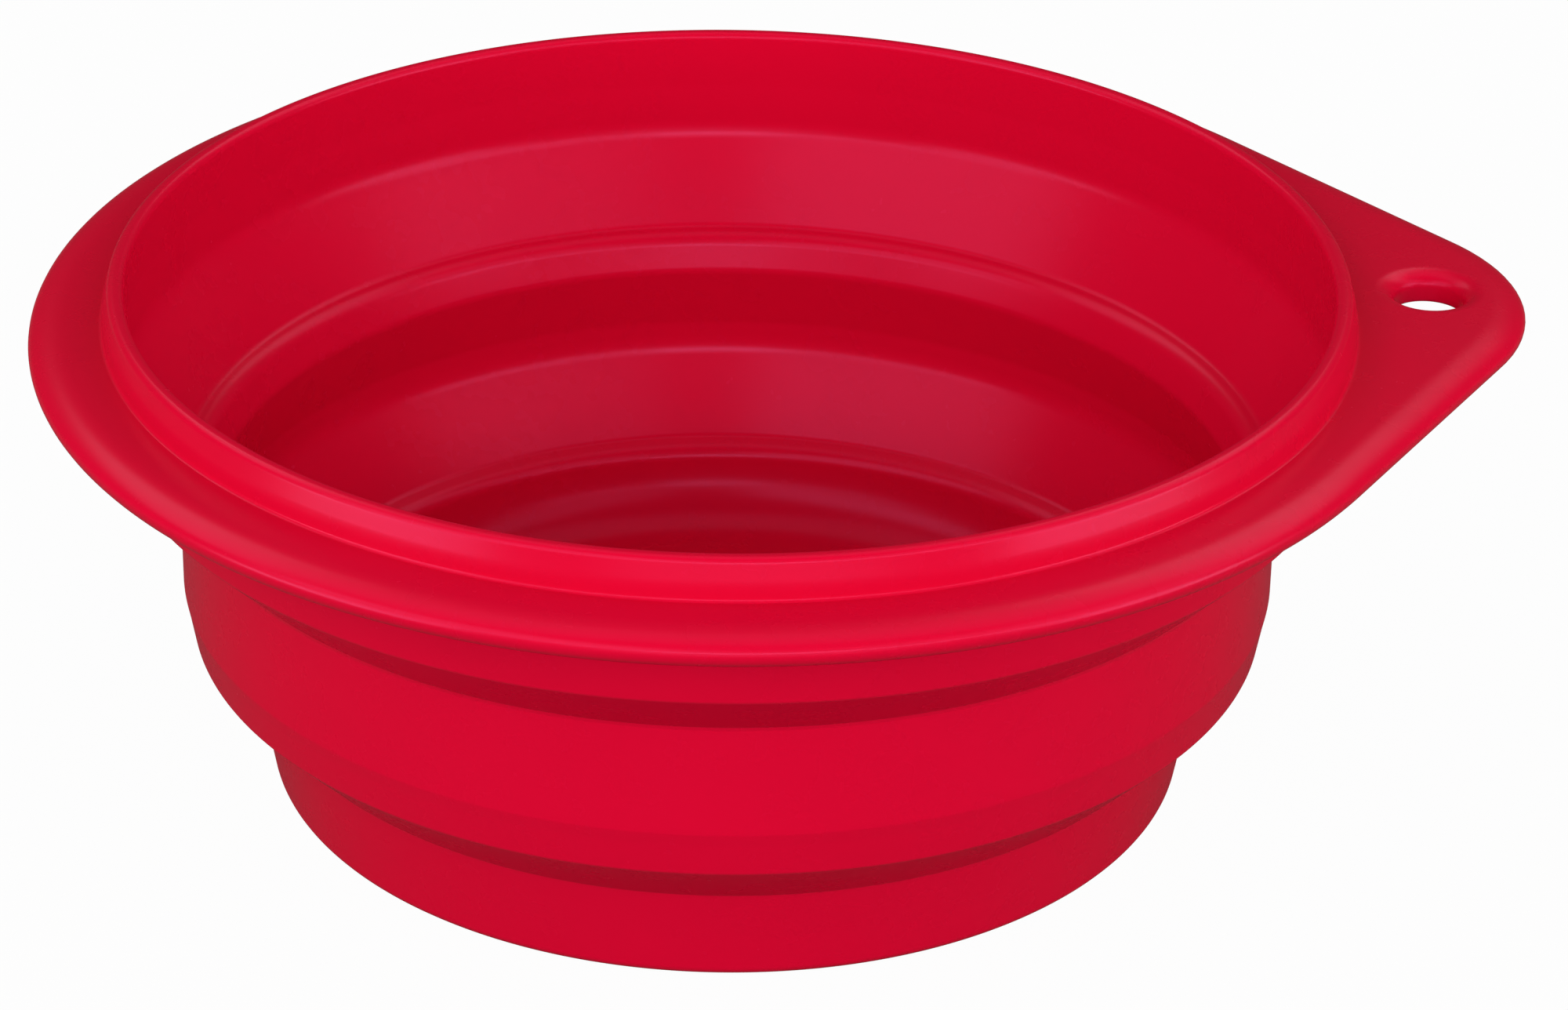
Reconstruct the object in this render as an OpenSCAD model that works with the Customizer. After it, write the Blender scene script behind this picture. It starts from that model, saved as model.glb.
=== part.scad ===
// Collapsible bowl with a hanging tab, moulded in one piece from soft silicone rubber.
// The rim, the middle ring and the base keep their shape. Two thin folds join them,
// and each fold snaps over centre, so that the tier above drops round the tier below.
// The origin is the middle of the foot, on the table. The hanging tab points along +X.
// The bowl is drawn open. Outlines are half sections: radius across, height up.

/* [Base] */
// Outer radius of the base at the lower fold
base_r = 62.3; // [56:0.1:70]
// Outer radius of the base just above its rounded foot
foot_r = 60.3; // [56:0.1:62]
// Height of the base wall, up to the lower fold
base_h = 13.1; // [12:0.1:16]
// Thickness of the floor
floor_t = 2.5; // [1.6:0.1:3.4]
// Radius of the rounded edge of the foot
foot_round = 1.6; // [0.8:0.1:2.4]
// Radius of the hollow corner between the floor and the base wall
floor_round = 3; // [1.5:0.1:3.8]
// Height of the slanted band inside the top of the base wall
base_band_h = 5.2; // [4:0.1:5.6]

/* [Rings] */
// Step in outer radius from one tier to the next
tier_step = 8.9; // [8:0.1:11]
// Thickness of the stiff walls
wall_t = 2.4; // [2:0.1:3]
// Height of the middle ring, from its lower edge to the upper fold
ring_h = 21; // [17:0.1:24]
// Height of the slanted band inside the top of the middle ring
ring_band_h = 5.7; // [4:0.1:7]
// Height of the slanted band outside, at the foot of the middle ring
ring_skirt_h = 6.1; // [4:0.1:7]
// How far that outer band draws the ring in
ring_skirt_in = 1.1; // [1:0.1:1.7]
// Small step in, where that outer band starts
ring_ridge = 0.5; // [0.3:0.05:0.9]
// How far a hinge shoulder stands up from the inside of its fold
shoulder = 0.35; // [0.2:0.05:0.5]
// Radius of the rounded lower edge of the middle ring and the rim wall
nose_round = 0.7; // [0.6:0.05:1.1]
// Radius of the hollow corner inside, where a stiff wall turns into its fold
hollow_round = 3; // [1.5:0.1:4]

/* [Folds] */
// Slope of a fold, up from level, in degrees
fold_slope = 55; // [50:0.5:60]
// Thickness of a fold at the hinge along its lower end
hinge_t = 0.8; // [0.6:0.05:1.1]
// Clearance between a fold's lower end and the tier that it hinges on
hinge_gap = 0.3; // [0.2:0.05:0.5]
// Depth of a tier's lower edge below the hollow corner inside it
nose_drop = 2.8; // [2.2:0.1:3]

/* [Rim] */
// Height of the rim wall, from its lower edge to the top of the lip
rim_h = 19.15; // [16:0.05:22]
// Height of the lip above the flange
lip_rise = 5.2; // [3:0.1:7]
// How far the rim wall tapers in below the flange
rim_taper = 0.9; // [0.5:0.1:1.2]
// Width of the flange, beyond the rim wall
flange_w = 9.4; // [6:0.1:12]
// Thickness of the flange and the tab
flange_t = 4; // [2.8:0.1:5]
// How far in from the edge the top of the flange and the tab starts to round over
edge_run = 4.5; // [3:0.1:5.5]
// How far the edge of the flange and the tab drops by its widest point
edge_drop = 2.1; // [1:0.1:3]

/* [Hanging tab] */
// How far the tab stands out beyond the flange
tab_out = 13.5; // [11:0.1:18]
// Radius of the tab's rounded tip
tab_tip_r = 28.6; // [24:0.1:34]
// Distance from the tip of the tab to the middle of the hole
hole_in = 12.2; // [10.5:0.1:14]
// Radius of the hanging hole
hole_r = 4.5; // [3:0.1:5.5]
// Radius of the rounded edges of the hanging hole
hole_round = 1.3; // [0.6:0.1:1.8]

/* [Hidden] */
$fn = 180;

// Red silicone
silicone = [0.80, 0.01, 0.15];
// Steps in a drawn quarter turn of a small round
quarter_steps = 8;
// Small flat left at the outer top corner of a hinge seat
seat_flat = 0.4;
// Extra length of the cuts
overrun = 1;
// Angle that each half of the tab's tip runs on, before it is cut at the middle
tip_lap = 6;

// Radii of the tiers
ring_r = base_r + tier_step;
rim_r = ring_r + tier_step;
flange_r = rim_r + flange_w;

// Radius of the floor, which ends on the flat inside the hollow corner
floor_r = foot_r - foot_round - floor_round - wall_t;

// Direction up a fold, and the direction square to it that points out and down
up_fold = [cos(fold_slope), sin(fold_slope)];
off_fold = [sin(fold_slope), -cos(fold_slope)];
// Rise from the outer end of a hinge to the hollow corner of the tier above
corner_rise = hinge_t*cos(fold_slope)
    + (tier_step - wall_t + hinge_t*sin(fold_slope))*tan(fold_slope);
// Distance from a hollow corner to the ends of the arc that rounds it
hollow_run = hollow_round*tan((90 - fold_slope)/2);

// Heights of the tiers
ring_bottom = base_h + corner_rise - nose_drop;
ring_top = ring_bottom + ring_h;
rim_bottom = ring_top + corner_rise - nose_drop;
rim_top = rim_bottom + rim_h;
flange_z = rim_top - lip_rise;
under_z = flange_z - flange_t;

// Hanging tab: the middle of its tip, and half the angle that it takes from the flange
tab_x = flange_r + tab_out - tab_tip_r;
tab_half = acos((flange_r - tab_tip_r)/tab_x);
hole_x = flange_r + tab_out - hole_in;

// Points along an arc from angle a to angle b
function arc(middle, r, a, b) =
    let (steps = ceil(abs(b - a)/90*quarter_steps))
    [for (i = [0:steps]) middle + r*[cos(a + (b - a)*i/steps), sin(a + (b - a)*i/steps)]];

// Outer and inner ends of the hinge on top of a tier of outer radius r and height z
function hinge_out(r, z) = [r, z];
function hinge_in(r, z) = hinge_out(r, z) - hinge_t*off_fold;

// Inner end of a fold where it meets the hollow corner of a wall
function fold_top_in(wall_in, corner_z) = [wall_in, corner_z] - hollow_run*up_fold;

// Arc of the hollow corner inside a wall, from the wall down to the fold
function hollow(wall_in, corner_z) =
    arc([wall_in - hollow_round, corner_z + hollow_run], hollow_round, 0, fold_slope - 90);

// Rounded lower edge of a tier, from the line that comes up from hinge h round to upright
function nose(low_r, low_z, h) =
    let (middle = [low_r - nose_round, low_z + nose_round])
    let (lean = middle - h)
    let (start = atan2(lean.y, lean.x) - asin(nose_round/norm(lean)) - 90)
    arc(middle, nose_round, start, 0);

// Seat of a hinge on top of a tier, from the outer corner over to the inner shoulder
function hinge_seat(r, z) =
    let (low = hinge_out(r, z) - hinge_gap*up_fold)
    let (high = hinge_in(r, z) - hinge_gap*up_fold)
    let (brow = high - shoulder*off_fold)
    [[r, low.y - seat_flat], low, high, brow, brow - shoulder*up_fold];

// Radius inside the base wall at height z
function base_in(z) =
    base_r - wall_t - (base_h - z)*(base_r - foot_r)/(base_h - foot_round);

// Half section of the flange or the tab, from radius inner out to its full round edge at outer,
// a quarter circle below the widest point and a flat quarter oval above it
function flange_section(inner, outer) =
    let (under_round = flange_t - edge_drop)
    concat(
        [[inner, under_z]],
        arc([outer - under_round, under_z + under_round], under_round, -90, 0),
        [for (i = [1:quarter_steps])
            [outer - edge_run*(1 - cos(90*i/quarter_steps)),
             flange_z - edge_drop*(1 - sin(90*i/quarter_steps))]],
        [[inner, flange_z]]);

// Upright wall under the lip, with the lip rounded over and the fold's root cut off below
module rim_wall() {
    wall_in = rim_r - wall_t;
    corner_z = ring_top + corner_rise;
    color(silicone)
        rotate_extrude()
            polygon(concat(
                nose(rim_r - rim_taper, rim_bottom, hinge_out(ring_r, ring_top)),
                [[rim_r, under_z]],
                arc([rim_r - wall_t/2, rim_top - wall_t/2], wall_t/2, 0, 180),
                hollow(wall_in, corner_z)));
}

// Flange turned out round the rim, open where the tab takes its place
module rim_flange() {
    color(silicone)
        rotate([0, 0, tab_half])
            rotate_extrude(angle = 360 - 2*tab_half)
                polygon(flange_section(rim_r, flange_r));
}

// Half of the tab: a straight side along the line that touches both the flange and the tip,
// and the tip turned on round to the middle, where the halves meet
module half_tab() {
    intersection() {
        translate([tab_x, 0, 0])
            rotate([0, 0, tab_half]) {
                rotate([-90, 0, 0])
                    linear_extrude(tab_x*sin(tab_half))
                        mirror([0, 1])
                            polygon(flange_section(0, tab_tip_r));
                rotate_extrude(angle = -tab_half - tip_lap)
                    polygon(flange_section(0, tab_tip_r));
            }
        translate([0, 0, under_z - overrun])
            cube([2*flange_r, 2*flange_r, flange_t + 2*overrun]);
    }
}

// Cut for the hanging hole, flared at both faces of the tab so that the edges are round
module hole_cut() {
    edge_r = hole_r + hole_round;
    rotate_extrude()
        polygon(concat(
            [[0, under_z - overrun], [edge_r, under_z - overrun]],
            arc([edge_r, under_z + hole_round], hole_round, -90, -180),
            arc([edge_r, flange_z - hole_round], hole_round, 180, 90),
            [[edge_r, flange_z + overrun], [0, flange_z + overrun]]));
}

// Tab that carries on the flange to a wide round tip, with a hole to hang the bowl by
module hanging_tab() {
    color(silicone)
        difference() {
            union() {
                half_tab();
                mirror([0, 1, 0])
                    half_tab();
            }
            translate([0, 0, under_z - overrun])
                cylinder(r = rim_r, h = flange_t + 2*overrun);
            translate([hole_x, 0, 0])
                hole_cut();
        }
}

// Thin cone between the hinge of the tier below and the foot of the wall above
module fold(low_r, low_z, high_r, taper) {
    high_corner = low_z + corner_rise;
    color(silicone)
        rotate_extrude()
            polygon([
                hinge_out(low_r, low_z),
                nose(high_r - taper, high_corner - nose_drop, hinge_out(low_r, low_z))[0],
                fold_top_in(high_r - wall_t, high_corner),
                hinge_in(low_r, low_z)]);
}

module upper_fold() {
    fold(ring_r, ring_top, rim_r, rim_taper);
}

// Stiff middle tier, thinned inside at its top and outside at its foot
module middle_ring() {
    wall_in = ring_r - wall_t;
    low_r = ring_r - ring_skirt_in;
    skirt_z = ring_bottom + ring_skirt_h;
    color(silicone)
        rotate_extrude()
            polygon(concat(
                nose(low_r, ring_bottom, hinge_out(base_r, base_h)),
                [[ring_r - ring_ridge, skirt_z - ring_ridge], [ring_r, skirt_z]],
                hinge_seat(ring_r, ring_top),
                [[wall_in, ring_top - ring_band_h]],
                hollow(wall_in, base_h + corner_rise)));
}

module lower_fold() {
    fold(base_r, base_h, ring_r, ring_skirt_in);
}

// Tapered base wall with a rounded foot and a hollow corner inside
module base_ring() {
    band_z = base_h - base_band_h;
    corner_z = floor_t + floor_round;
    color(silicone)
        rotate_extrude()
            polygon(concat(
                [[floor_r, 0]],
                arc([foot_r - foot_round, foot_round], foot_round, -90, 0),
                hinge_seat(base_r, base_h),
                [[base_in(band_z), band_z]],
                arc([base_in(corner_z) - floor_round, corner_z], floor_round, 0, -90),
                [[floor_r, floor_t]]));
}

// Flat round floor inside the base wall
module base_floor() {
    color(silicone)
        cylinder(r = floor_r, h = floor_t);
}

rim_wall();
rim_flange();
hanging_tab();
upper_fold();
middle_ring();
lower_fold();
base_ring();
base_floor();
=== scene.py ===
"""A collapsible bowl of red silicone, moulded in one piece, with a tab to hang it by.

The bowl is put together from the table up: base, lower fold, middle ring, upper fold, and the
rim with its tab. Sizes are in millimetres. A half section is drawn as points (radius, height).
"""
import math

import bmesh
import bpy
from mathutils import Matrix, Vector


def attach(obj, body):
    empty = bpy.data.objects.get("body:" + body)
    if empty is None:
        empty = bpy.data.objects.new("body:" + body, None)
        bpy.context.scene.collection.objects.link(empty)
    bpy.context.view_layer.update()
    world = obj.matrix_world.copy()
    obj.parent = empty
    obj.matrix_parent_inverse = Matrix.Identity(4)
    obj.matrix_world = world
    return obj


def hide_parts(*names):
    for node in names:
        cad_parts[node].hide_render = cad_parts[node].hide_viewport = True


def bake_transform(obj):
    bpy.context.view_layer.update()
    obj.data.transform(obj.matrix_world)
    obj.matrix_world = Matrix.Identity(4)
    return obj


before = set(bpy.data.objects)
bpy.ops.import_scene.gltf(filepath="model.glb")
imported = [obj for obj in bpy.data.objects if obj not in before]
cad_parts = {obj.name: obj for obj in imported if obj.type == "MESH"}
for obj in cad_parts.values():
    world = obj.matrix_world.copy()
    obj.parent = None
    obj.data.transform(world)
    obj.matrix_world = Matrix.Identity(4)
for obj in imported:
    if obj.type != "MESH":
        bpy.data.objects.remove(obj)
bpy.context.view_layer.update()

# Base
# The stiff foot tier of the silicone moulding: a flat floor and a low wall that leans out, with
# a round foot. It is moulded in one with the rest, and both folds and the rim stand on it.

MM = 0.001
TURN_STEPS = 320             # steps in a full turn of every wall
ARC_STEP = math.radians(9)   # largest step along a rounding
HOLD = 0.12                  # extra point beside each rounding, which keeps the flats flat
CREASE = math.radians(35)    # bends sharper than this stay sharp

wall_t = 2.4
base_r, foot_r, base_h = 62.3, 60.3, 13.1
floor_t, foot_round = 2.5, 1.6
base_seam, floor_seam = 6.2, 46.0   # where the base meets the fold, outside and on the floor


def base_out(height):
    """Outer radius of the base wall at a height."""
    return base_r - (base_h - height)*(base_r - foot_r)/(base_h - foot_round)


def base_in(height):
    return base_out(height) - wall_t


def joined(stretches, longest):
    """One section through all the stretches. Straights between them get points of their own."""
    points = list(stretches[0])
    for stretch in stretches[1:]:
        start, gap = points[-1], stretch[0] - points[-1]
        if gap.length > 3*HOLD:
            first, last = HOLD/gap.length, 1 - HOLD/gap.length
            steps = math.ceil((gap.length - 2*HOLD)/longest)
            points += [start + gap*(first + (last - first)*k/steps) for k in range(steps + 1)]
        points += stretch[gap.length < HOLD/10:]
    return points


def rounded(corners, longest=4.0):
    """An open section through corners (radius, height, rounding), with an arc at each."""
    arcs = []
    for before, (r, z, rounding), after in zip(corners, corners[1:], corners[2:]):
        here = Vector((r, z))
        back, ahead = Vector(before[:2]) - here, Vector(after[:2]) - here
        half = back.angle(ahead)/2
        turn = math.copysign(math.pi - 2*half, back.y*ahead.x - back.x*ahead.y)
        bisector = (back.normalized() + ahead.normalized()).normalized()
        middle = here + bisector*rounding/math.sin(half)
        spoke = here + back.normalized()*rounding/math.tan(half) - middle
        steps = max(3, math.ceil(abs(turn)/ARC_STEP))
        arcs.append([middle + Matrix.Rotation(turn*k/steps, 2) @ spoke for k in range(steps + 1)])
    return joined([[Vector(corners[0][:2])], *arcs, [Vector(corners[-1][:2])]], longest)


def shell(name, work):
    """A smooth mesh object from a bmesh, with sharp bends kept."""
    bmesh.ops.recalc_face_normals(work, faces=work.faces)
    for face in work.faces:
        face.smooth = True
    mesh = bpy.data.meshes.new(name)
    work.to_mesh(mesh)
    work.free()
    mesh.set_sharp_from_angle(angle=CREASE)
    piece = bpy.data.objects.new(name, mesh)
    bpy.context.scene.collection.objects.link(piece)
    return piece


def ring_of(work, place, steps=TURN_STEPS):
    """A ring of vertices, place(angle) giving each one in millimetres."""
    return [work.verts.new([c*MM for c in place(2*math.pi*k/steps)]) for k in range(steps)]


def circle(r, z, centre_x=0):
    return lambda a: (centre_x + r*math.cos(a), r*math.sin(a), z)


def skin_over(work, ring, ahead):
    """Faces between two rings, either of which may be one point on the axis."""
    for k in range(len(max(ring, ahead, key=len))):
        n = k + 1
        face = (ring[k % len(ring)], ring[n % len(ring)],
                ahead[n % len(ahead)], ahead[k % len(ahead)])
        work.faces.new(dict.fromkeys(face))


def turned(name, section, closed=True):
    """The section, turned all the way round the bowl's axis."""
    work = bmesh.new()
    rings = [ring_of(work, circle(p.x, p.y)) if p.x > 1e-6 else [work.verts.new((0, 0, p.y*MM))]
             for p in section]
    for ring, ahead in zip(rings, rings[1:] + rings[:1]*closed):
        skin_over(work, ring, ahead)
    return shell(name, work)


class Socket:
    """A shader value that adds its own nodes when it is used in a sum."""

    def __init__(self, tree, out):
        self.tree, self.out = tree, out

    def node(self, kind, settings, inputs, out=0):
        made = self.tree.nodes.new(kind)
        for key, value in settings.items():
            setattr(made, key, value)
        for key, value in inputs.items():
            if isinstance(value, Socket):
                self.tree.links.new(value.out, made.inputs[key])
            else:
                made.inputs[key].default_value = value
        return Socket(self.tree, made.outputs[out])

    def math(self, operation, *values):
        return self.node("ShaderNodeMath", {"operation": operation}, dict(enumerate(values)))

    def __add__(self, other):
        return self.math("ADD", self, other)

    def __mul__(self, other):
        return self.math("MULTIPLY", self, other)

    __radd__, __rmul__ = __add__, __mul__

    def into(self, shader, name):
        self.tree.links.new(self.out, shader.inputs[name])


# Satin silicone. One red runs all through the moulding. The polished mould leaves it slightly
# uneven, and the rubber has a soft sheen and a very fine grain.
RED = (0.62, 0.0015, 0.026, 1)
DEEP_RED = (0.57, 0.0012, 0.022, 1)
SHEEN_TINT = (1.0, 0.35, 0.9, 1)
SHEEN, RUBBER_IOR = 0.24, 1.42
SATIN, UNEVENNESS = 0.21, 0.06                   # roughness, and what each pattern adds to it
RELIEF_STRENGTH, RELIEF_DEPTH = 0.22, 0.00004    # the depth is in metres


def silicone_finish():
    finish = bpy.data.materials.new("red_silicone")
    finish.use_nodes = True
    tree = finish.node_tree
    shader = tree.nodes["Principled BSDF"]
    place = Socket(tree, tree.nodes.new("ShaderNodeTexCoord").outputs["Object"])

    def noise(scale, detail):
        return place.node("ShaderNodeTexNoise", {},
                          {"Vector": place, "Scale": scale, "Detail": detail})

    # Patterns about 26 mm, 5 mm and 0.4 mm across
    swell, mottle, grain = noise(38, 2), noise(210, 3), noise(2600, 2)
    place.node("ShaderNodeMix", {"data_type": "RGBA"},
               {0: swell*0.7 + mottle*0.3, 6: RED, 7: DEEP_RED}, out=2).into(shader, "Base Color")
    (SATIN + swell*UNEVENNESS + mottle*UNEVENNESS).into(shader, "Roughness")
    place.node("ShaderNodeBump", {},
               {"Strength": RELIEF_STRENGTH, "Distance": RELIEF_DEPTH,
                "Height": swell*1.5 + mottle*0.35 + grain*0.16}).into(shader, "Normal")
    shader.inputs["IOR"].default_value = RUBBER_IOR
    shader.inputs["Specular Tint"].default_value = SHEEN_TINT
    shader.inputs["Specular IOR Level"].default_value = SHEEN
    return finish


silicone = silicone_finish()


def finished(piece):
    """Gives a piece of the bowl its silicone."""
    piece.data.materials.append(silicone)
    return piece


base = finished(turned("base", rounded([
    (0, 0, 0), (base_out(0), 0, foot_round), (base_out(base_seam), base_seam, 0)])
    + [Vector((base_in(base_seam), base_seam)), Vector((base_in(base_seam), floor_t/2)),
       Vector((floor_seam, floor_t/2))]
    + rounded([(floor_seam, floor_t, 0), (0, floor_t, 0)]), closed=False))
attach(base, "base")
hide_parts("base_ring", "base_floor")

# Lower fold
# The thin cone between the base and the middle ring, from the hinge shoulder on the base up to
# the ring's round lower edge, in the same silicone and moulded in one with them. Its faces are
# two skins.

SKIN = 0.3                   # depth of a skin
FOLD_STEP = 0.8              # longest straight step in a fold, which has to bend
tier_step, fold_slope = 8.9, math.radians(55)
hinge_t, hinge_shift, hinge_round = 0.8, 0.1, 1.3
shoulder_round, hollow_round = 2.6, 5.0
nose_drop, nose_round = 2.8, 0.7
crook, crook_drop, crook_round = 0.12, 0.4, 0.3   # the outer bend where the fold meets a tier
off_fold = Vector((math.sin(fold_slope), -math.cos(fold_slope)))
corner_rise = (hinge_t*math.cos(fold_slope)
               + (tier_step - wall_t + hinge_t*math.sin(fold_slope))*math.tan(fold_slope))

ring_h, skirt_h, skirt_in = 21, 6.1, 1.1
ring_r = base_r + tier_step
ring_low = base_h + corner_rise - nose_drop
ring_top = ring_low + ring_h
ridge_z = ring_low + skirt_h
ring_in = ring_r - wall_t
ring_foot_seam, ring_foot_seam_in = 25.4, 27.5


def skirt_out(height):
    """Outer radius of the band at the foot of the ring, which draws in towards its edge."""
    return ring_r - skirt_in*(ridge_z - height)/(ridge_z - ring_low - nose_round)


def skin(name, face, side):
    """A thin closed skin. Its face is rounded, and its back lies SKIN away on the given side."""
    back = []
    for i, corner in enumerate(face):
        here = Vector(corner[:2])
        runs = [(Vector(b[:2]) - Vector(a[:2])).normalized()
                for a, b in zip(face[max(0, i - 1):], face[max(0, i - 1) + 1:i + 2])]
        total = sum((Vector((run.y, -run.x)) for run in runs), Vector((0, 0)))
        back.append(here + total*(side*SKIN*len(runs)/total.length_squared))
    return finished(turned(name, rounded(face, FOLD_STEP)
                           + joined([[p] for p in back], FOLD_STEP)[::-1]))


def fold_inside(low_r, low_z, hollow_z, high_seam, shoulder, below):
    """Inner face: down from the wall above, along the fold, and over the shoulder below it.

    The shoulder is how far in and down it lies from the hinge.
    """
    hinge = Vector((low_r, low_z)) - off_fold*hinge_t
    return [(low_r + tier_step - wall_t, high_seam, 0),
            (low_r + tier_step - wall_t, hollow_z, hollow_round),
            (hinge.x + hinge_shift, hinge.y - hinge_shift, hinge_round),
            (hinge.x - shoulder[0], hinge.y - shoulder[1], shoulder_round),
            *below]


def fold_outside(low_r, low_z, nose_r, high_seam, low_seam):
    """Outer face: down from the wall above, round its lower edge and back in along the fold."""
    nose_z = low_z + corner_rise - nose_drop
    return [(*high_seam, 0),
            (nose_r, nose_z, nose_round),
            (low_r + crook, low_z + crook, crook_round),
            (low_r, low_z - crook_drop, crook_round),
            (*low_seam, 0)]


def fold_range(low_z, rise):
    """Start and end points on the axis, at the heights low_z and low_z + rise."""
    return {"start": (0, 0, low_z*MM), "end": (0, 0, (low_z + rise)*MM)}


floor_corner_r, floor_round = 57.2, 9.5     # the soft bend from the base's wall to the floor
ring_hollow_z, base_shoulder = 24.6, (2.6, 1.3)
inner_lift = 0.46            # how much higher the inner skin's range starts than the outer one's heights of the inner and outer skins' ranges
ring_turn_in, turn_out = 10.8, 6.18   # heights over which the inner and outer skins turn over

lower_inside = skin("lower_fold_inside", fold_inside(
    base_r, base_h, ring_hollow_z, ring_foot_seam_in, base_shoulder,
    [(floor_corner_r, floor_t, floor_round), (floor_seam, floor_t, 0)]), -1)
lower_outside = skin("lower_fold_outside", fold_outside(
    base_r, base_h, ring_r - skirt_in, (skirt_out(ring_foot_seam), ring_foot_seam),
    (base_out(base_seam), base_seam)), 1)
fold_range(base_h + inner_lift, ring_turn_in)
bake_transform(lower_inside)
fold_range(base_h, turn_out)
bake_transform(lower_outside)
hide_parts("lower_fold")

# Middle ring
# The stiff silicone tier between the folds, moulded in one with them. Outside, a soft ridge and a
# band that draws in mark its foot. Inside, it thickens upwards to carry the upper fold's hinge.

ring_top_seam = 34.0
bead_r, bead_z, bead_round = 66.7, 37.0, 1.8
bead_foot, bead_foot_round, ridge_round = 28.0, 4, 2


def bead_in(height):
    """Inner radius of the ring, which thickens upwards into the bead under the hinge."""
    return ring_in + (bead_r - ring_in)*(height - bead_foot)/(bead_z - bead_foot)


middle_ring = finished(turned("middle_ring", rounded([
    (ring_in, ring_foot_seam_in, 0), (ring_in, bead_foot, bead_foot_round),
    (bead_in(ring_top_seam), ring_top_seam, 0)])
    + rounded([(ring_r, ring_top_seam, 0), (ring_r, ridge_z, ridge_round),
               (skirt_out(ring_foot_seam), ring_foot_seam, 0)])))
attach(middle_ring, "middle")
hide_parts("middle_ring")

# Upper fold
# The same thin silicone cone one tier up, between the middle ring and the rim wall, and moulded
# in one with both.

rim_wall_h, lip_rise, flange_t = 19.15, 5.2, 4.0
rim_r = ring_r + tier_step
rim_low = ring_top + corner_rise - nose_drop
lip_z = rim_low + rim_wall_h
flange_z = lip_z - lip_rise
under_z = flange_z - flange_t
rim_taper, rim_seam = 0.9, 56.8
rim_hollow_z, ring_shoulder, rim_turn_in = 54.3, (2.1, 0.8), 11.2


def rim_out(height):
    """Outer radius of the rim wall under the flange, which tapers in towards its edge."""
    return rim_r - rim_taper*(under_z - height)/(under_z - rim_low - nose_round)


upper_inside = skin("upper_fold_inside", fold_inside(
    ring_r, ring_top, rim_hollow_z, rim_seam, ring_shoulder,
    [(bead_r, bead_z, bead_round), (bead_in(ring_top_seam), ring_top_seam, 0)]), -1)
upper_outside = skin("upper_fold_outside", fold_outside(
    ring_r, ring_top, rim_r - rim_taper, (rim_out(rim_seam), rim_seam),
    (ring_r, ring_top_seam)), 1)
fold_range(ring_top + inner_lift, rim_turn_in)
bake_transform(upper_inside)
fold_range(ring_top, turn_out)
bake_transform(upper_outside)
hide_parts("upper_fold")

# Rim
# The stiff silicone wall with its round lip, and the flange moulded out round it. The flange
# runs out along two straight sides to the round tip of the tab, and its edge is fully rounded.

ROUND_STEPS = 10             # steps in each quarter round of the flange's edge and the hole
HOLE_STEPS = 72
PATCH = 34                   # steps each side of the tab that are filled round the hole

lip_t, lip_lean, lip_lean_drop, lip_lean_round = 2.95, 0.9, 3.2, 5.0
lip_round_in, lip_round_out = 0.9, 1.0
swell_drop, swell_round = 8, 6           # where the wall starts to thicken towards the lip
collar, collar_round = 2.2, 0.45         # the flat and the corner round the wall, on the flange
under_collar, under_round = 2, 0.8       # and under it
flange_w, tab_out, tip_r = 9.4, 13.5, 28.6
flange_r = rim_r + flange_w
tip_x = flange_r + tab_out - tip_r
tab_half = math.acos((flange_r - tip_r)/tip_x)
side_end = math.atan2(tip_r*math.sin(tab_half), tip_x + tip_r*math.cos(tab_half))
edge_run, edge_drop = 4.5, 2.1
hole_in, hole_r = 12.2, 4.5
hole_x = flange_r + tab_out - hole_in
flare_run, flare_drop, hole_foot_round = 2.6, 2.0, 0.5


def edge(inset, z):
    """The outline of the flange and tab, drawn in by inset: a place on it for each angle."""
    def place(a):
        a = (a + math.pi) % (2*math.pi) - math.pi
        if abs(a) >= tab_half:
            reach, lean = flange_r, a
        elif abs(a) >= side_end:
            lean = math.copysign(tab_half, a)
            reach = flange_r/math.cos(a - lean)
        else:
            reach = tip_x*math.cos(a) + math.sqrt(tip_r**2 - (tip_x*math.sin(a))**2)
            lean = math.asin(reach*math.sin(a)/tip_r)
        return (reach*math.cos(a) - inset*math.cos(lean),
                reach*math.sin(a) - inset*math.sin(lean), z)
    return place


def tab_face(work, inner, outer, hole):
    """A flat face of the flange, filled at the tab round the hole, which stays open."""
    def between(a, b):
        return work.edges.get((a, b)) or work.edges.new((a, b))

    rim_edges = []
    for k in range(TURN_STEPS):
        n = (k + 1) % TURN_STEPS
        if PATCH <= k < TURN_STEPS - PATCH:
            work.faces.new((inner[k], inner[n], outer[n], outer[k]))
        else:
            rim_edges += [between(ring[k], ring[n]) for ring in (inner, outer)]
    rim_edges += [between(inner[k], outer[k]) for k in (PATCH, TURN_STEPS - PATCH)]
    rim_edges += [between(a, b) for a, b in zip(hole, hole[1:] + hole[:1])]
    bmesh.ops.triangle_fill(work, edges=rim_edges, use_beauty=True)


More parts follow.
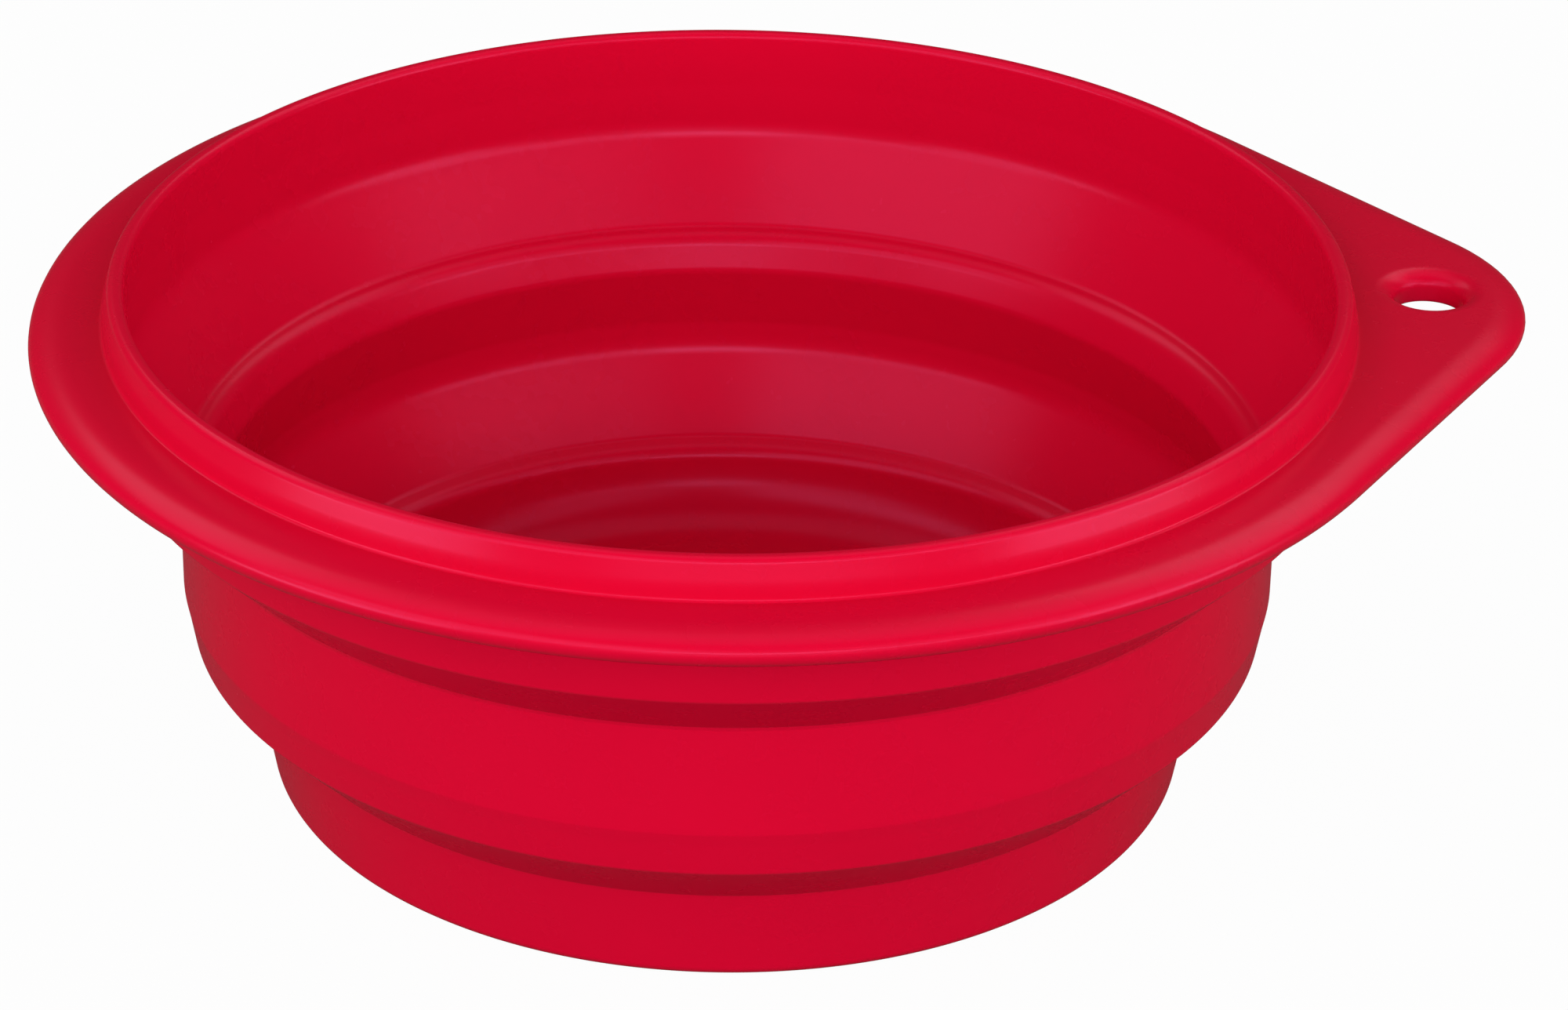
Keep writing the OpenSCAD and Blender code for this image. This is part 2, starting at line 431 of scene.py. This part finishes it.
def rim_piece():
    """The wall, the flange and the tab in one mesh, with the hole through the tab."""
    work = bmesh.new()
    quarter = [math.pi/2*k/ROUND_STEPS for k in range(ROUND_STEPS + 1)]
    over = [(edge_run*(1 - math.cos(a)), flange_z - edge_drop*(1 - math.sin(a)))
            for a in quarter[::-1]]
    low_round = flange_t - edge_drop
    under = [(low_round*(1 - math.cos(a)), under_z + low_round*(1 - math.sin(a)))
             for a in quarter[1:]]
    wall = [ring_of(work, circle(p.x, p.y)) for p in rounded([
        (rim_r - wall_t, rim_seam, 0),
        (rim_r - wall_t, lip_z - swell_drop, swell_round),
        (rim_r - lip_t, lip_z, lip_round_in),
        (rim_r - lip_lean, lip_z, lip_round_out),
        (rim_r, lip_z - lip_lean_drop, lip_lean_round),
        (rim_r, flange_z, collar_round),
        (rim_r + collar, flange_z, 0)])]
    lip_edge = [ring_of(work, edge(*p)) for p in
                [(edge_run + HOLD, flange_z)] + over + under + [(low_round + HOLD, under_z)]]
    foot = [ring_of(work, circle(p.x, p.y)) for p in rounded([
        (rim_r + under_collar, under_z, 0), (rim_r, under_z, under_round),
        (rim_out(rim_seam), rim_seam, 0)])]
    for rings in (wall, lip_edge, foot, [foot[-1], wall[0]]):
        for ring, ahead in zip(rings, rings[1:]):
            skin_over(work, ring, ahead)
    flare = [(hole_r + flare_run + HOLD, flange_z)]
    flare += [(hole_r + flare_run*(1 - math.sin(a)), flange_z - flare_drop*(1 - math.cos(a)))
              for a in quarter]
    flare += [(hole_r + hole_foot_round*(1 - math.cos(a)),
               under_z + hole_foot_round*(1 - math.sin(a))) for a in quarter]
    flare += [(hole_r + hole_foot_round + HOLD, under_z)]
    holes = [ring_of(work, circle(r, z, hole_x), HOLE_STEPS) for r, z in flare]
    for ring, ahead in zip(holes, holes[1:]):
        skin_over(work, ring, ahead)
    tab_face(work, wall[-1], lip_edge[0], holes[0])
    tab_face(work, foot[0], lip_edge[-1], holes[-1])
    return shell("rim", work)


rim = finished(rim_piece())
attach(rim, "rim")
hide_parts("rim_wall", "rim_flange", "hanging_tab")

# Studio
# A white table that keeps the bowl's soft shadow, and soft boxes all round it: two large ones
# high in front, three strips below them, three low boxes for the outer walls, and dimmer ones
# behind and overhead. The room itself adds only a little even light.

TABLE_SIZE, TABLE_DROP = 3.0, 0.0004     # metres
TABLE_GREY, TABLE_ROUGHNESS = 0.12, 0.9
GLOW, GLOW_SHARE = 1.08, 0.9             # to the camera the table is mostly glow, partly lit
BOX_DISTANCE, BOX_LIFT = 1.2, 0.04       # metres
ROOM_LIGHT = 0.05


def table_top():
    work = bmesh.new()
    bmesh.ops.create_grid(work, x_segments=4, y_segments=4, size=TABLE_SIZE)
    table = shell("table_top", work)
    table.location.z = -TABLE_DROP
    cover = bpy.data.materials.new("white_table")
    cover.use_nodes = True
    tree = cover.node_tree
    shader = tree.nodes["Principled BSDF"]
    shader.inputs["Base Color"].default_value = (TABLE_GREY, TABLE_GREY, TABLE_GREY, 1)
    shader.inputs["Roughness"].default_value = TABLE_ROUGHNESS
    rays = tree.nodes.new("ShaderNodeLightPath")
    seen = Socket(tree, rays.outputs["Is Camera Ray"])
    glow = seen.node("ShaderNodeEmission", {}, {"Color": (1, 1, 1, 1), "Strength": GLOW})
    mix = seen.node("ShaderNodeMixShader", {}, {
        0: seen*GLOW_SHARE, 1: Socket(tree, shader.outputs[0]), 2: glow})
    mix.into(tree.nodes["Material Output"], "Surface")
    table.data.materials.append(cover)


def soft_box(name, azimuth, elevation, width, height, power):
    """A soft box round the bowl: azimuth 0 is towards the camera, and positive to its right."""
    a, e = math.radians(azimuth), math.radians(elevation)
    data = bpy.data.lights.new(name, "AREA")
    data.shape, data.size, data.size_y, data.energy = "RECTANGLE", width, height, power
    box = bpy.data.objects.new(name, data)
    bpy.context.scene.collection.objects.link(box)
    way = Vector((math.sin(a)*math.cos(e), -math.cos(a)*math.cos(e), math.sin(e)))
    at = way*BOX_DISTANCE
    box.location = at + Vector((0, 0, BOX_LIFT))
    box.rotation_euler = (-at).to_track_quat("-Z", "Y").to_euler()


table_top()
soft_box("box_left", -48, 42, 1.3, 0.42, 4.0)
soft_box("box_right", 56, 42, 1.5, 0.42, 2.2)
soft_box("strip_front", 0, 24, 0.6, 0.14, 3.4)
soft_box("strip_left", -44, 24, 1.1, 0.14, 3.1)
soft_box("strip_right", 44, 24, 1.1, 0.14, 3.3)
soft_box("low_front", 0, 5, 1.0, 0.3, 1.5)
soft_box("low_left", -64, 6, 0.8, 0.4, 6.0)
soft_box("low_right", 62, 6, 0.8, 0.4, 6.0)
soft_box("back_left", -130, 45, 1.0, 0.4, 2.0)
soft_box("back_right", 130, 45, 1.0, 0.4, 2.0)
soft_box("over_back", 180, 80, 1.5, 0.8, 2.5)

world = bpy.data.worlds.new("room")
world.use_nodes = True
background = world.node_tree.nodes["Background"]
background.inputs["Color"].default_value = (1, 1, 1, 1)
background.inputs["Strength"].default_value = ROOM_LIGHT
bpy.context.scene.world = world
bpy.context.scene.view_settings.view_transform = "Standard"

# Camera
# The photograph is taken from the front, a little above, with a long lens. The place lies
# between the one that fits the rim's outline best and the one that fits the inner lines.

lens = bpy.data.cameras.new("camera")
lens.lens, lens.sensor_width = 120.342, 36
lens.clip_start, lens.clip_end = 0.05, 20
camera = bpy.data.objects.new("camera", lens)
bpy.context.scene.collection.objects.link(camera)
look = Vector((0.0723, 0.88294, -0.46388)).normalized()
across = Vector((0.99715, -0.07401, 0.01455))
across = (across - look*across.dot(look)).normalized()
up = across.cross(look)
place = Matrix.Translation((-0.04236, -0.60662, 0.353))
camera.matrix_world = place @ Matrix((across, up, -look)).transposed().to_4x4()
bpy.context.scene.camera = camera
